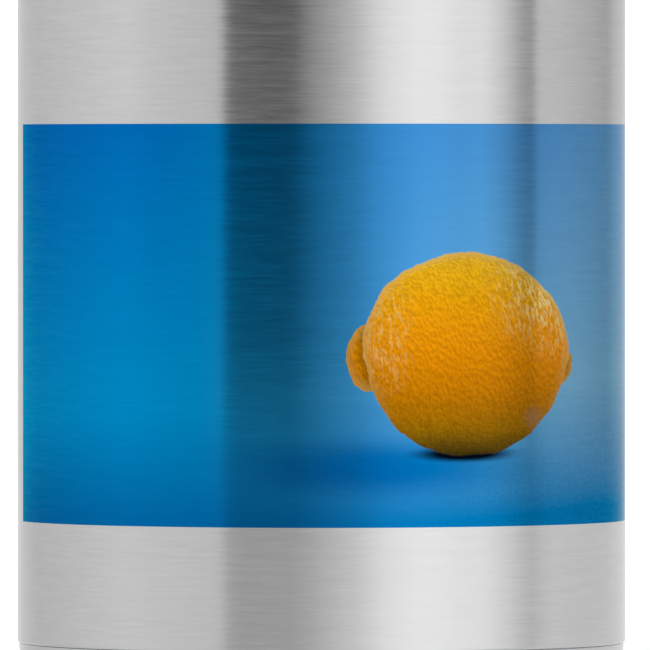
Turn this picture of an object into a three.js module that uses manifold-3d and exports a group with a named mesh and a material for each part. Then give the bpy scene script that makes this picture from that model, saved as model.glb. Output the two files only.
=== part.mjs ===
// A vacuum-insulated drinking bottle in brushed stainless steel, with a screw lid and a carry handle.
// Millimetres, +Z up. The origin is the centre of the face that the bottle stands on.
import * as THREE from "three";
import { mergeVertices } from "three/addons/utils/BufferGeometryUtils.js";
import Module from "manifold-3d";

const wasm = await Module();
wasm.setup();

// Fineness of round pieces.
const SEGMENTS = 40;
const SMALL_SEGMENTS = 16;
const CORNER_STEPS = 4;
const SHOULDER_STEPS = 7;
const GROOVE_SEGMENTS = 8;
const HANDLE_CORNER_STEPS = 6;

// Points closer than this are one point, and cutters reach this far past what they cut.
const SAME_POINT = 1e-4;
const PAST = 1;

// Clearance between two pieces that fit into each other.
const FIT = 0.3;

// Steel body.
const BODY_RADIUS = 36.5;
const STEEL_WALL = 0.8;
const VACUUM_GAP = 3.0;
const SEAM_Z = 3.6;
const SHOULDER_Z = 150;
const SHOULDER_RISE = 18;
const NECK_RADIUS = 23;
const NECK_HEIGHT = 18;

// Base: a pressed cup with a foot ring, a pad in its recess, and the sealed evacuation hole.
const PAD_THICKNESS = 1.6;
const PAD_STANDS_OUT = 0.6;
const PAD_CHAMFER = 0.4;
const FOOT_WIDTH = 3.4;
const FOOT_CORNER = 2.4;
const CUP_STEP_IN = 0.2;
const CUP_LIP_HEIGHT = 5;
const DIMPLE_RADIUS = 6;
const DIMPLE_DEPTH = 1.0;
const EVACUATION_HOLE = 1.5;
const SEAL_BEAD_RADIUS = 4.5;
const SEAL_BEAD_HEIGHT = 0.7;
const GETTER_RADIUS = 5;
const GETTER_HEIGHT = 3;
const GETTER_OFFSET = 14;

// Inner liner and the reflecting foil round it.
const LINER_FLOOR_Z = 10;
const LINER_CORNER = 4;
const LINER_SHOULDER_DROP = 3;
const LINER_SHOULDER_RISE = 16;
const FOIL_THICKNESS = 0.2;
const FOIL_MARGIN = 2;

// Screw thread between neck and lid, right-handed.
const THREAD_PITCH = 4;
const THREAD_TURNS = 1.6;
const THREAD_DEPTH = 1.1;
const THREAD_ROOT_WIDTH = 1.4;
const THREAD_TIP_SHARE = 0.55;
const THREAD_SUNK = 0.4;
const THREAD_START_ABOVE_NECK_FOOT = 5;
const THREAD_STEPS_PER_TURN = 30;

// Lid.
const LID_WALL = 2.8;
const LID_GAP_ABOVE_SHOULDER = 1;
const LID_EDGE = 3;
const LID_FOOT_CHAMFER = 0.5;
const LID_LEDGE = 2.2;
const LID_CHAMBER_HEIGHT = 6.4;
const LID_ROOF = 4;
const GRIP_GROOVES = 28;
const GRIP_GROOVE_RADIUS = 1.1;
const GRIP_GROOVE_DEPTH = 0.5;
const GRIP_MARGIN = 3;
const GASKET_THICKNESS = 2;
const PLUG_WALL = 1.5;
const PLUG_DEPTH = 10;
const PLUG_FLANGE = 1.6;
const PLUG_PLAY = 1.3;
const PLATE_RADIUS = 20.2;
const PLATE_THICKNESS = 0.8;
const TAPE_THICKNESS = 0.4;
const TAPE_INSET = 0.4;

// Carry handle and its two pins.
const BOSS_RADIUS = 5;
const BOSS_STANDS_OUT = 2;
const BOSS_ROOTED = 2.3;
const PIN_RADIUS = 1.9;
const PIN_SUNK = 3.5;
const PIN_HEAD_RADIUS = 3.4;
const PIN_HEAD_HEIGHT = 1.2;
const PIVOT_BELOW_TOP = 9;
const ARM_THICKNESS = 3.5;
const HANDLE_WIDTH = 10;
const HANDLE_BAR = 5;
const HANDLE_REACH = 36;
const HANDLE_OUTER_CORNER = 12;
const HANDLE_INNER_CORNER = 8;

// Heights and radii that follow from the sizes above.
const shellInner = BODY_RADIUS - STEEL_WALL;
const linerOuter = shellInner - VACUUM_GAP;
const linerInner = linerOuter - STEEL_WALL;
const neckFootZ = SHOULDER_Z + SHOULDER_RISE;
const lipZ = neckFootZ + NECK_HEIGHT;
const neckInner = NECK_RADIUS - STEEL_WALL;
const linerNeckOuter = neckInner - FIT;
const mouthRadius = linerNeckOuter - STEEL_WALL;
const recessZ = PAD_THICKNESS;
const footZ = PAD_STANDS_OUT;
const cupFloorZ = recessZ + STEEL_WALL;
const threadZ = neckFootZ + THREAD_START_ABOVE_NECK_FOOT;
const threadTip = NECK_RADIUS + THREAD_DEPTH;
const lidBore = threadTip + 2 * FIT;
const lidRadius = lidBore + LID_WALL;
const lidFootZ = neckFootZ + LID_GAP_ABOVE_SHOULDER;
const flangeZ = lipZ + GASKET_THICKNESS;
const ledgeZ = flangeZ + PLUG_FLANGE;
const chamberRadius = lidBore - LID_LEDGE;
const chamberTopZ = ledgeZ + LID_CHAMBER_HEIGHT;
const lidTopZ = chamberTopZ + LID_ROOF;
const plugRadius = mouthRadius - PLUG_PLAY;
const plugFloorZ = flangeZ - PLUG_DEPTH;
const plateFloorZ = lidTopZ - PLATE_THICKNESS - TAPE_THICKNESS;
const pivotZ = lidTopZ - PIVOT_BELOW_TOP;
const bossX = lidRadius + BOSS_STANDS_OUT;
const armInnerX = bossX + FIT;
const armOuterX = armInnerX + ARM_THICKNESS;
const pinHeadX = armOuterX + FIT;
const handleTopZ = pivotZ + HANDLE_REACH + HANDLE_BAR / 2;

const brushedSteel = new THREE.MeshStandardMaterial({ color: 0xb9babb, roughness: 0.3, metalness: 1 });
const plainSteel = new THREE.MeshStandardMaterial({ color: 0xa9abad, roughness: 0.4, metalness: 1 });
const brightFoil = new THREE.MeshStandardMaterial({ color: 0xdcdcdd, roughness: 0.25, metalness: 1 });
const sealGlass = new THREE.MeshStandardMaterial({ color: 0x39424a, roughness: 0.2, metalness: 0 });
const blackPlastic = new THREE.MeshStandardMaterial({ color: 0x1d1e20, roughness: 0.55, metalness: 0 });
const greySilicone = new THREE.MeshStandardMaterial({ color: 0x6f7276, roughness: 0.8, metalness: 0 });
const whiteFoam = new THREE.MeshStandardMaterial({ color: 0xe8e6df, roughness: 0.9, metalness: 0 });

// Points of an elliptic arc in the (radius, height) plane, both ends included.
function ellipseArc(centreR, centreZ, radiusR, radiusZ, fromDeg, toDeg, steps) {
  const points = [];
  for (let i = 0; i <= steps; i += 1) {
    const angle = THREE.MathUtils.degToRad(fromDeg + ((toDeg - fromDeg) * i) / steps);
    points.push([centreR + radiusR * Math.cos(angle), centreZ + radiusZ * Math.sin(angle)]);
  }
  return points;
}

// A solid of revolution about Z from a closed outline of [radius, height] points, in either direction.
function turned(outline, segments = SEGMENTS) {
  const points = outline.map(([r, z]) => new THREE.Vector2(Math.max(r, 0), z));
  if (THREE.ShapeUtils.area(points) < 0) {
    points.reverse();
  }
  points.push(points[0].clone());
  const geometry = new THREE.LatheGeometry(points, segments);
  return geometry.rotateX(Math.PI / 2);
}

// A plain cylinder along X between two values of x, at the height z.
function rodAlongX(radius, x0, x1, z) {
  const geometry = new THREE.CylinderGeometry(radius, radius, Math.abs(x1 - x0), SMALL_SEGMENTS);
  geometry.rotateZ(-Math.PI / 2);
  return geometry.translate((x0 + x1) / 2, 0, z);
}

// A geometry as a solid that can be joined and cut.
function solidOf(geometry) {
  const bare = geometry.clone();
  bare.deleteAttribute("normal");
  bare.deleteAttribute("uv");
  const merged = mergeVertices(bare, SAME_POINT);
  return new wasm.Manifold(
    new wasm.Mesh({
      numProp: 3,
      vertProperties: new Float32Array(merged.attributes.position.array),
      triVerts: new Uint32Array(merged.index.array),
    }),
  );
}

function geometryOf(solid) {
  const mesh = solid.getMesh();
  const geometry = new THREE.BufferGeometry();
  geometry.setAttribute("position", new THREE.BufferAttribute(mesh.vertProperties, 3));
  geometry.setIndex(new THREE.BufferAttribute(mesh.triVerts, 1));
  geometry.computeVertexNormals();
  return geometry;
}

// A helical thread ridge: a straight bar bent round Z, wide at its root and narrow at its tip.
function threadRidge(rootRadius, tipRadius, startZ) {
  const depth = Math.abs(tipRadius - rootRadius);
  const steps = Math.round(THREAD_TURNS * THREAD_STEPS_PER_TURN);
  const bar = new THREE.BoxGeometry(depth, THREAD_TURNS, THREAD_ROOT_WIDTH, 1, steps, 1);
  const place = bar.attributes.position;
  for (let i = 0; i < place.count; i += 1) {
    const radius = (rootRadius + tipRadius) / 2 + place.getX(i);
    const turn = place.getY(i) + THREAD_TURNS / 2;
    const share = Math.abs(radius - tipRadius) < depth / 2 ? THREAD_TIP_SHARE : 1;
    const angle = turn * 2 * Math.PI;
    const z = startZ + turn * THREAD_PITCH + place.getZ(i) * share;
    place.setXYZ(i, radius * Math.cos(angle), radius * Math.sin(angle), z);
  }
  return solidOf(bar);
}

// A rounded corner of one radius about [centreR, centreZ].
function corner(centreR, centreZ, radius, fromDeg, toDeg) {
  return ellipseArc(centreR, centreZ, radius, radius, fromDeg, toDeg, CORNER_STEPS);
}

// The shoulder's quarter ellipse, from the straight wall in to the neck.
function shoulder(wallRadius, neckRadius, z, rise) {
  return ellipseArc(neckRadius, z, wallRadius - neckRadius, rise, 0, 90, SHOULDER_STEPS);
}

function outerShell() {
  const outside = shoulder(BODY_RADIUS, NECK_RADIUS, SHOULDER_Z, SHOULDER_RISE);
  const inside = shoulder(shellInner, neckInner, SHOULDER_Z, SHOULDER_RISE - STEEL_WALL);
  const rimZ = lipZ - STEEL_WALL;
  const wall = turned([
    [BODY_RADIUS, SEAM_Z],
    ...outside,
    [NECK_RADIUS, rimZ],
    [neckInner, rimZ],
    ...inside.reverse(),
    [shellInner, SEAM_Z],
  ]);
  const ridge = threadRidge(NECK_RADIUS - THREAD_SUNK, threadTip, threadZ);
  return geometryOf(solidOf(wall).add(ridge));
}

function innerLiner() {
  const shoulderZ = SHOULDER_Z - LINER_SHOULDER_DROP;
  const undersideZ = LINER_FLOOR_Z - STEEL_WALL;
  return turned([
    [0, undersideZ],
    ...corner(linerOuter - LINER_CORNER, undersideZ + LINER_CORNER, LINER_CORNER, -90, 0),
    ...shoulder(linerOuter, linerNeckOuter, shoulderZ, LINER_SHOULDER_RISE),
    [linerNeckOuter, lipZ - STEEL_WALL],
    [NECK_RADIUS, lipZ - STEEL_WALL],
    [NECK_RADIUS, lipZ],
    [mouthRadius, lipZ],
    ...shoulder(linerInner, mouthRadius, shoulderZ, LINER_SHOULDER_RISE - STEEL_WALL).reverse(),
    ...corner(linerInner - LINER_CORNER, LINER_FLOOR_Z + LINER_CORNER, LINER_CORNER, 0, -90),
    [0, LINER_FLOOR_Z],
  ]);
}

function reflectorFoil() {
  const inside = linerOuter + FIT;
  const outside = inside + FOIL_THICKNESS;
  const lowZ = LINER_FLOOR_Z + LINER_CORNER + FOIL_MARGIN;
  const highZ = SHOULDER_Z - LINER_SHOULDER_DROP - FOIL_MARGIN;
  return turned([
    [inside, lowZ],
    [outside, lowZ],
    [outside, highZ],
    [inside, highZ],
  ]);
}

const footOuter = BODY_RADIUS - CUP_STEP_IN - FOOT_CORNER;
const footInner = footOuter - FOOT_WIDTH;

function baseCup() {
  const lipOuter = shellInner - FIT;
  const lipInner = lipOuter - STEEL_WALL;
  const lipTopZ = SEAM_Z + CUP_LIP_HEIGHT;
  const side = BODY_RADIUS - CUP_STEP_IN;
  return turned([
    [EVACUATION_HOLE, recessZ + DIMPLE_DEPTH],
    [DIMPLE_RADIUS, recessZ + DIMPLE_DEPTH],
    [DIMPLE_RADIUS, recessZ],
    [footInner, recessZ],
    [footInner, footZ],
    ...corner(footOuter, footZ + FOOT_CORNER, FOOT_CORNER, -90, 0),
    [side, SEAM_Z],
    [lipOuter, SEAM_Z],
    [lipOuter, lipTopZ],
    [lipInner, lipTopZ],
    [lipInner, cupFloorZ + STEEL_WALL],
    [lipInner - STEEL_WALL, cupFloorZ],
    [DIMPLE_RADIUS + STEEL_WALL, cupFloorZ],
    [DIMPLE_RADIUS + STEEL_WALL, cupFloorZ + DIMPLE_DEPTH],
    [EVACUATION_HOLE, cupFloorZ + DIMPLE_DEPTH],
  ]);
}

function evacuationSeal() {
  const topZ = recessZ + DIMPLE_DEPTH;
  return turned([
    [0, topZ - SEAL_BEAD_HEIGHT],
    [SEAL_BEAD_RADIUS, topZ - SEAL_BEAD_HEIGHT],
    [SEAL_BEAD_RADIUS, topZ],
    [0, topZ],
  ]);
}

function getter() {
  const pill = new THREE.CylinderGeometry(GETTER_RADIUS, GETTER_RADIUS, GETTER_HEIGHT, SMALL_SEGMENTS);
  pill.rotateX(Math.PI / 2);
  return pill.translate(GETTER_OFFSET, 0, cupFloorZ + GETTER_HEIGHT / 2);
}

function basePad() {
  const radius = footInner - FIT;
  return turned([
    [0, 0],
    [radius - PAD_CHAMFER, 0],
    [radius, PAD_CHAMFER],
    [radius, PAD_THICKNESS],
    [0, PAD_THICKNESS],
  ]);
}

function lidGasket() {
  const inside = plugRadius + FIT;
  const outside = NECK_RADIUS;
  return turned([
    [inside, lipZ],
    [outside, lipZ],
    [outside, flangeZ],
    [inside, flangeZ],
  ]);
}

// One upright grip groove, as the rod that cuts it.
function gripCutter(angle) {
  const lowZ = lidFootZ + GRIP_MARGIN;
  const highZ = lidTopZ - LID_EDGE - GRIP_MARGIN;
  const length = highZ - lowZ;
  const rod = new THREE.CylinderGeometry(GRIP_GROOVE_RADIUS, GRIP_GROOVE_RADIUS, length, GROOVE_SEGMENTS);
  const reach = lidRadius - GRIP_GROOVE_DEPTH + GRIP_GROOVE_RADIUS;
  rod.rotateX(Math.PI / 2);
  rod.translate(reach * Math.cos(angle), reach * Math.sin(angle), (lowZ + highZ) / 2);
  return solidOf(rod);
}

function lidShell() {
  const plateRecess = PLATE_RADIUS + FIT;
  let lid = solidOf(
    turned([
      [lidBore, lidFootZ],
      [lidRadius - LID_FOOT_CHAMFER, lidFootZ],
      [lidRadius, lidFootZ + LID_FOOT_CHAMFER],
      ...corner(lidRadius - LID_EDGE, lidTopZ - LID_EDGE, LID_EDGE, 0, 90),
      [plateRecess, lidTopZ],
      [plateRecess, plateFloorZ],
      [0, plateFloorZ],
      [0, chamberTopZ],
      [chamberRadius, chamberTopZ],
      [chamberRadius, ledgeZ],
      [lidBore, ledgeZ],
    ]),
  );
  for (let i = 0; i < GRIP_GROOVES; i += 1) {
    lid = lid.subtract(gripCutter(((i + 0.5) / GRIP_GROOVES) * 2 * Math.PI));
  }
  lid = lid.add(threadRidge(lidBore + THREAD_SUNK, lidBore - THREAD_DEPTH, threadZ - THREAD_PITCH / 2));
  for (const side of [-1, 1]) {
    const root = side * (lidRadius - BOSS_ROOTED);
    const bottom = side * (bossX - PIN_SUNK);
    lid = lid.add(solidOf(rodAlongX(BOSS_RADIUS, root, side * bossX, pivotZ)));
    lid = lid.subtract(solidOf(rodAlongX(PIN_RADIUS + FIT, bottom, side * (bossX + PAST), pivotZ)));
  }
  return geometryOf(lid);
}

// The lid's inner cup: its plug dips into the mouth, and its flange presses on the gasket.
function lidLiner() {
  const flangeRadius = lidBore - FIT;
  return turned([
    [0, plugFloorZ],
    [plugRadius - PLUG_WALL, plugFloorZ],
    [plugRadius, plugFloorZ + PLUG_WALL],
    [plugRadius, flangeZ],
    [flangeRadius, flangeZ],
    [flangeRadius, ledgeZ],
    [plugRadius - PLUG_WALL, ledgeZ],
    [plugRadius - PLUG_WALL, plugFloorZ + PLUG_WALL],
    [0, plugFloorZ + PLUG_WALL],
  ]);
}

function lidFoam() {
  const stem = plugRadius - PLUG_WALL - FIT;
  const cap = chamberRadius - FIT;
  return turned([
    [0, plugFloorZ + PLUG_WALL],
    [stem, plugFloorZ + PLUG_WALL],
    [stem, ledgeZ],
    [cap, ledgeZ],
    [cap, chamberTopZ - FIT],
    [0, chamberTopZ - FIT],
  ]);
}

// A flat disc in the recess of the lid's top.
function lidDisc(radius, z, thickness) {
  return turned([
    [0, z],
    [radius, z],
    [radius, z + thickness],
    [0, z + thickness],
  ]);
}

function handlePin(side) {
  const shaftEnd = pinHeadX + PIN_HEAD_HEIGHT / 2;
  const shaft = rodAlongX(PIN_RADIUS, side * (bossX - PIN_SUNK), side * shaftEnd, pivotZ);
  const head = rodAlongX(PIN_HEAD_RADIUS, side * pinHeadX, side * (pinHeadX + PIN_HEAD_HEIGHT), pivotZ);
  return geometryOf(solidOf(shaft).add(solidOf(head)));
}

// An upside-down U in the X-Z plane, open at its foot.
function handleOutline(halfWidth, topZ, footHeightZ, corner) {
  const outline = new THREE.Shape();
  outline.moveTo(-halfWidth, footHeightZ);
  outline.lineTo(halfWidth, footHeightZ);
  outline.lineTo(halfWidth, topZ - corner);
  outline.absarc(halfWidth - corner, topZ - corner, corner, 0, Math.PI / 2, false);
  outline.lineTo(-halfWidth + corner, topZ);
  outline.absarc(-halfWidth + corner, topZ - corner, corner, Math.PI / 2, Math.PI, false);
  outline.closePath();
  return outline;
}

// The handle: the U's thickness seen from the front, with ends rounded about the pins as seen from the side.
function carryHandle() {
  const armFootZ = pivotZ - HANDLE_WIDTH / 2;
  const halfWidth = HANDLE_WIDTH / 2;
  const front = (outline) => {
    const block = new THREE.ExtrudeGeometry(outline, {
      depth: 2 * HANDLE_WIDTH,
      bevelEnabled: false,
      curveSegments: HANDLE_CORNER_STEPS,
    });
    block.translate(0, 0, -HANDLE_WIDTH);
    return solidOf(block.rotateX(Math.PI / 2));
  };
  const gapTopZ = handleTopZ - HANDLE_BAR;
  const outer = front(handleOutline(armOuterX, handleTopZ, armFootZ - PAST, HANDLE_OUTER_CORNER));
  const inner = front(handleOutline(armInnerX, gapTopZ, armFootZ - 2 * PAST, HANDLE_INNER_CORNER));
  const sideView = new THREE.Shape();
  sideView.moveTo(halfWidth, pivotZ);
  sideView.lineTo(halfWidth, handleTopZ + PAST);
  sideView.lineTo(-halfWidth, handleTopZ + PAST);
  sideView.lineTo(-halfWidth, pivotZ);
  sideView.absarc(0, pivotZ, halfWidth, Math.PI, 2 * Math.PI, false);
  const strap = new THREE.ExtrudeGeometry(sideView, {
    depth: 2 * (armOuterX + PAST),
    bevelEnabled: false,
    curveSegments: HANDLE_CORNER_STEPS,
  });
  strap.translate(0, 0, -armOuterX - PAST);
  strap.rotateX(Math.PI / 2);
  strap.rotateZ(Math.PI / 2);
  let handle = outer.subtract(inner).intersect(solidOf(strap));
  for (const side of [-1, 1]) {
    const hole = rodAlongX(PIN_RADIUS + FIT, side * (armInnerX - PAST), side * (armOuterX + PAST), pivotZ);
    handle = handle.subtract(solidOf(hole));
  }
  return geometryOf(handle);
}

const bottle = new THREE.Group();

function place(name, geometry, material) {
  const mesh = new THREE.Mesh(geometry, material);
  mesh.name = name;
  bottle.add(mesh);
}

place("outer_shell", outerShell(), brushedSteel);
place("inner_liner", innerLiner(), plainSteel);
place("reflector_foil", reflectorFoil(), brightFoil);
place("getter", getter(), plainSteel);
place("base_cup", baseCup(), brushedSteel);
place("evacuation_seal", evacuationSeal(), sealGlass);
place("base_pad", basePad(), greySilicone);
place("lid_gasket", lidGasket(), greySilicone);
place("lid_shell", lidShell(), blackPlastic);
place("lid_liner", lidLiner(), blackPlastic);
place("lid_foam", lidFoam(), whiteFoam);
place("plate_tape", lidDisc(PLATE_RADIUS - TAPE_INSET, plateFloorZ, TAPE_THICKNESS), whiteFoam);
place("lid_plate", lidDisc(PLATE_RADIUS, plateFloorZ + TAPE_THICKNESS, PLATE_THICKNESS), brushedSteel);
place("handle_pin_left", handlePin(-1), plainSteel);
place("handle_pin_right", handlePin(1), plainSteel);
place("carry_handle", carryHandle(), blackPlastic);

export default bottle;
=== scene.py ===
# Looks of an insulated steel bottle with a printed lemon picture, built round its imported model.
# Metres throughout, in the model's own frame: the bottle stands on z = 0 with its axis on Z.
import math

import bmesh
import bpy
from mathutils import Matrix, Vector


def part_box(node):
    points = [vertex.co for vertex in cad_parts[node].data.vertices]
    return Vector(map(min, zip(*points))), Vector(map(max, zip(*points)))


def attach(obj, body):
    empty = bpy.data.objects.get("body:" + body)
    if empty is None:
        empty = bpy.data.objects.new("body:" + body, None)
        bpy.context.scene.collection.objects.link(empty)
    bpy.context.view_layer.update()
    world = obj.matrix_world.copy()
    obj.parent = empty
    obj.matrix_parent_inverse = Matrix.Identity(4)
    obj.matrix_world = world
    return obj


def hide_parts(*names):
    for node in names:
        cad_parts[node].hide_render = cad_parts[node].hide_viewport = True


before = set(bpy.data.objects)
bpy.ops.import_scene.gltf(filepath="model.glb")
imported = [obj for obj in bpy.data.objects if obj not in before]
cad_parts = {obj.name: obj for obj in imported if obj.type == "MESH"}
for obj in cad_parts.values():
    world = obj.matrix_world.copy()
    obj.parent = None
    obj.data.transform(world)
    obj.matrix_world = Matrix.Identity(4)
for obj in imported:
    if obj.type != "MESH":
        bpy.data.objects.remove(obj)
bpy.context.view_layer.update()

MM = 0.001
# Points this near each other are one point.
SAME_PLACE = 0.001 * MM
FULL_TURN = 2 * math.pi
QUARTER_TURN = math.pi / 2

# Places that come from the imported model.
shell_low, shell_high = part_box("outer_shell")
liner_low, liner_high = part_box("inner_liner")
cup_low, cup_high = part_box("base_cup")
gasket_low, gasket_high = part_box("lid_gasket")
lid_low, lid_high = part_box("lid_shell")
lid_liner_low, lid_liner_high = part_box("lid_liner")
plate_low, plate_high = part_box("lid_plate")
tape_low, tape_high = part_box("plate_tape")
pin_low, pin_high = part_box("handle_pin_right")
handle_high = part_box("carry_handle")[1]

body_radius = shell_high.x
seam_z = shell_low.z
lip_z = liner_high.z
lid_top = lid_high.z
lid_foot = lid_low.z
pivot_z = (pin_low.z + pin_high.z) / 2

# Sizes that the boxes don't give, in metres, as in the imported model.
WALL = 0.8 * MM
FIT = 0.3 * MM
SHOULDER_Z = 150 * MM
SHOULDER_RISE = 18 * MM
NECK_RADIUS = 23 * MM
LINER_SHOULDER_Z = 147 * MM
LINER_SHOULDER_RISE = 16 * MM
LINER_CORNER = 4 * MM
THREAD_PITCH = 4 * MM
THREAD_TURNS = 1.6
THREAD_DEPTH = 1.1 * MM
THREAD_ROOT_HALF = 0.7 * MM
THREAD_TIP_HALF = 0.38 * MM
THREAD_SUNK = 0.4 * MM
THREAD_ABOVE_NECK_FOOT = 5 * MM
# The share of a turn over which a thread grows from nothing at each of its ends.
THREAD_RUN_OUT = 0.09
LEDGE = 2.2 * MM
LID_ROOF = 4 * MM
LID_EDGE = 3 * MM
GRIP_GROOVES = 28
GRIP_WIDTH_SHARE = 0.36
GRIP_DEPTH = 0.55 * MM
GRIP_MARGIN = 3 * MM
GRIP_RUN_OUT = 1.5 * MM
BOSS_RADIUS = 5 * MM
BOSS_STANDS_OUT = 2 * MM
BOSS_SUNK = 2.3 * MM
PIN_RADIUS = 1.9 * MM
PIN_SUNK = 3.5 * MM
BAR_THICKNESS = 5 * MM
ARM_THICKNESS = 3.5 * MM
HANDLE_OUTER_CORNER = 12 * MM
HANDLE_INNER_CORNER = 8 * MM

neck_foot_z = SHOULDER_Z + SHOULDER_RISE
neck_inner = NECK_RADIUS - WALL
liner_outer = liner_high.x
liner_neck_outer = neck_inner - FIT
mouth_radius = liner_neck_outer - WALL
lid_bore = NECK_RADIUS + THREAD_DEPTH + 2 * FIT
lid_radius = lid_high.y
boss_face = lid_radius + BOSS_STANDS_OUT
thread_z = neck_foot_z + THREAD_ABOVE_NECK_FOOT

# The printed picture, in millimetres: its turn about the axis, its edges and its middle.
PICTURE_TURN = math.radians(6)
PICTURE_HALF_ANGLE = math.radians(84)
PICTURE_MIDDLE_MM = 42.05
PICTURE_HEIGHT_MM = 47.5

# How finely round pieces are made: steps round the axis, round a small piece, and along one fillet.
FINE_STEPS = 288
SMALL_STEPS = 64
THREAD_STEPS = 200
STEPS_PER_GROOVE = 28
FILLET_STEPS = 6
CREASE = math.radians(35)


# ---------------------------------------------------------------- small helpers


def srgb(code):
    """The linear colour of a hex code such as "c4c4c4"."""
    parts = [int(code[i : i + 2], 16) / 255 for i in (0, 2, 4)]
    return (*(p / 12.92 if p <= 0.04045 else ((p + 0.055) / 1.055) ** 2.4 for p in parts), 1.0)


def grey(value):
    return (value, value, value, 1)


def fill(node, inputs):
    """Links or sets a node's inputs, given in order or by name or number. Text is a colour's hex code."""
    for socket, value in inputs.items() if isinstance(inputs, dict) else enumerate(inputs):
        if isinstance(value, bpy.types.NodeSocket):
            node.id_data.links.new(value, node.inputs[socket])
        else:
            node.inputs[socket].default_value = srgb(value) if isinstance(value, str) else value


# The property that a mode such as ADD sets on each kind of node, and the output that goes with some modes.
MODES = {
    "Math": "operation",
    "VectorMath": "operation",
    "MapRange": "interpolation_type",
    "Mix": "data_type",
    "TexVoronoi": "feature",
}
MODE_OUTPUTS = {"RGBA": 2, "DOT_PRODUCT": 1, "LENGTH": 1}


def adder(tree):
    """The function that adds nodes to one tree."""

    def add(kind, inputs=(), out=None, stops=(), **settings):
        """Adds a node such as "Math ADD" with its settings and inputs, and returns one of its outputs."""
        kind, _, mode = kind.partition(" ")
        made = tree.nodes.new(kind if "Node" in kind else "ShaderNode" + kind)
        if mode:
            setattr(made, MODES[kind], mode)
        for name, value in settings.items():
            setattr(made, name, value)
        fill(made, inputs)
        for index, (place, colour) in enumerate((*stops[:1], *stops[-1:], *stops[1:-1])):
            points = made.color_ramp.elements
            point = points[index] if index < 2 else points.new(place)
            point.position = place
            point.color = srgb(colour) if isinstance(colour, str) else colour
        if made.outputs:
            return made.outputs[MODE_OUTPUTS.get(mode, 0) if out is None else out]

    return add


def surface(name, fixed=()):
    """A new material, the function that adds its nodes, and its shader with its fixed values set."""
    material = bpy.data.materials.new(name)
    material.use_nodes = True
    shader = material.node_tree.nodes["Principled BSDF"]
    fill(shader, fixed)
    return material, adder(material.node_tree), shader


def place_mm(add):
    """The point on the piece, in millimetres in the bottle's frame."""
    return add("VectorMath SCALE", {0: add("TexCoord", out=3), 3: 1 / MM})


# ---------------------------------------------------------------- outlines


def rounded(corners, steps=FILLET_STEPS):
    """Points along a polyline of (radius, height) corners, with an arc where a corner also has a fillet."""
    points = []
    count = len(corners)
    for index, (r, z, *fillet) in enumerate(corners):
        here = Vector((r, z))
        if not fillet:
            points.append(here)
            continue
        to_last = (Vector(corners[index - 1][:2]) - here).normalized()
        to_next = (Vector(corners[(index + 1) % count][:2]) - here).normalized()
        half = to_last.angle(to_next) / 2
        back = fillet[0] / math.tan(half)
        centre = here + (to_last + to_next).normalized() * (fillet[0] / math.sin(half))
        first = here + to_last * back - centre
        last = here + to_next * back - centre
        sweep = first.angle_signed(last)
        for step in range(steps + 1):
            points.append(centre + Matrix.Rotation(-sweep * step / steps, 2) @ first)
    return points


def quarter(neck, wall, foot_z, rise, steps=40):
    """The shoulder's quarter ellipse, from the straight wall in to the neck."""
    angles = [QUARTER_TURN * step / steps for step in range(steps + 1)]
    return [(neck + (wall - neck) * math.cos(a), foot_z + rise * math.sin(a)) for a in angles]


# ---------------------------------------------------------------- turned and wound pieces


def new_tree(name, floats, whole=()):
    """A geometry tree with named inputs, as the function that adds its nodes and its inputs' sockets."""
    tree = bpy.data.node_groups.new(name, "GeometryNodeTree")
    kinds = [("Geometry", "Geometry"), *[(title, "Float") for title in floats]]
    kinds += [*[(title, "Int") for title in whole], ("Material", "Material")]
    for title, kind in kinds:
        tree.interface.new_socket(name=title, in_out="INPUT", socket_type="NodeSocket" + kind)
    tree.interface.new_socket(name="Geometry", in_out="OUTPUT", socket_type="NodeSocketGeometry")
    given = tree.nodes.new("NodeGroupInput")
    return tree, adder(tree), {socket.name: socket for socket in given.outputs}


def end_tree(add, geometry, material):
    """The last steps of every tree: real geometry, its material, and the output."""
    real = add("GeometryNodeRealizeInstances", {"Geometry": geometry})
    dressed = add("GeometryNodeSetMaterial", {"Geometry": real, "Material": material})
    add("NodeGroupOutput", {"Geometry": dressed})


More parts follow.
